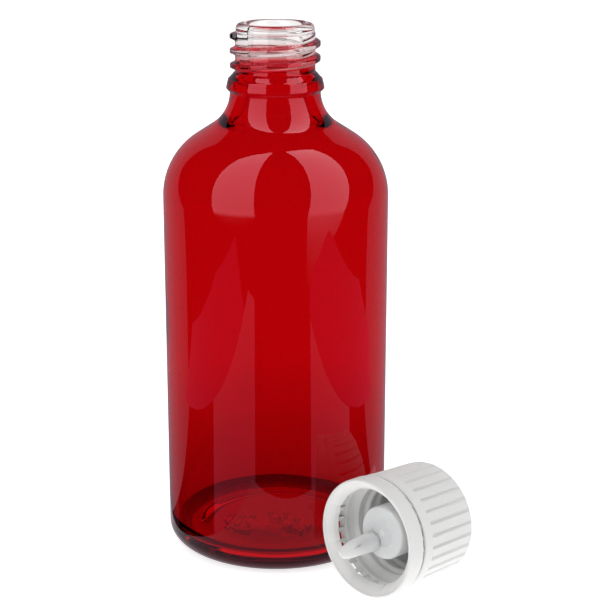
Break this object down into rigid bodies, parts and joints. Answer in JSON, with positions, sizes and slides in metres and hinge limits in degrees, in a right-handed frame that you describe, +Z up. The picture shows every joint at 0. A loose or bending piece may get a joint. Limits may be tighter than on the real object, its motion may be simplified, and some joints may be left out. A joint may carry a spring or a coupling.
{
  "type": "dropper bottle with screw closure",
  "caption": "Round lacquered glass bottle with a threaded neck, and its tamper-evident screw cap with dropper insert lying beside it.",
  "frame": {"origin": "centre of the bottle's foot, on the surface it stands on", "axes": "+Z up along the bottle's axis; the closure lies towards -Y and +X, its open end facing -X and -Y"},
  "size_m": [0.0633, 0.066, 0.112],
  "materials": {
    "red_glass": "clear glass, lacquered clear red from the neck down",
    "white_plastic": "satin moulded white",
    "natural_plastic": "milky, slightly translucent"
  },
  "bodies": {
    "bottle": {"glass_bottle": "red_glass"},
    "cap": {"screw_cap": "white_plastic", "snap_bridges": "white_plastic"},
    "insert": {"dropper_insert": "natural_plastic"},
    "band": {"tamper_band": "white_plastic"}
  },
  "joints": [
    {"name": "cap_tip", "type": "hinge", "parent": "bottle", "child": "cap", "pos_m": [0.03133, -0.0206, 0.0012], "axis": [-0.682, 0.7314, 0], "range_deg": [0, 87.94]},
    {"name": "insert_pull", "type": "slide", "parent": "cap", "child": "insert", "axis": [-0.7309, -0.6816, 0.0359], "range_m": [0, 0.026]},
    {"name": "band_release", "type": "slide", "parent": "cap", "child": "band", "axis": [-0.7309, -0.6816, 0.0359], "range_m": [0, 0.012]}
  ]
}
